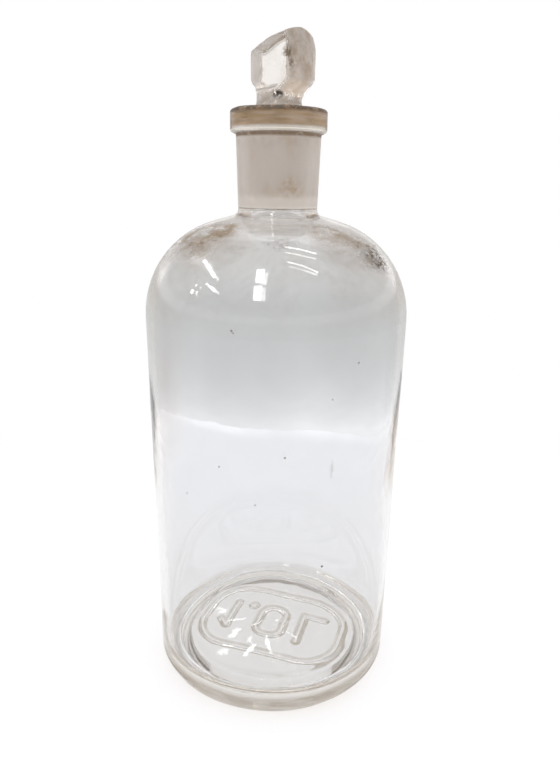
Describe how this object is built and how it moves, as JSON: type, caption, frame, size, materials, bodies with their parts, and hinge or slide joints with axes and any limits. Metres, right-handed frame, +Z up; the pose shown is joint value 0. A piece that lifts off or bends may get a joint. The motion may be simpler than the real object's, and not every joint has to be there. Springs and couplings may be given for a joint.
{
  "type": "reagent bottle",
  "caption": "Clear glass reagent bottle with a round body, domed shoulder, collared neck and a ground-in glass stopper with a flat faceted head.",
  "frame": {"origin": "centre of the base, on the surface the bottle stands on", "axes": "+Z up along the bottle's axis; +X along the mark under the base"},
  "size_m": [0.1, 0.1, 0.2479],
  "materials": {
    "bottle_glass": "clear moulded glass, ground inside the neck",
    "stopper_glass": "clear pressed glass, ground on the plug"
  },
  "bodies": {
    "bottle": {"bottle": "bottle_glass"},
    "stopper": {"stopper": "stopper_glass"}
  },
  "joints": [
    {"name": "stopper_lift", "type": "slide", "parent": "bottle", "child": "stopper", "axis": [0, 0, 1], "range_m": [0, 0.08]}
  ]
}
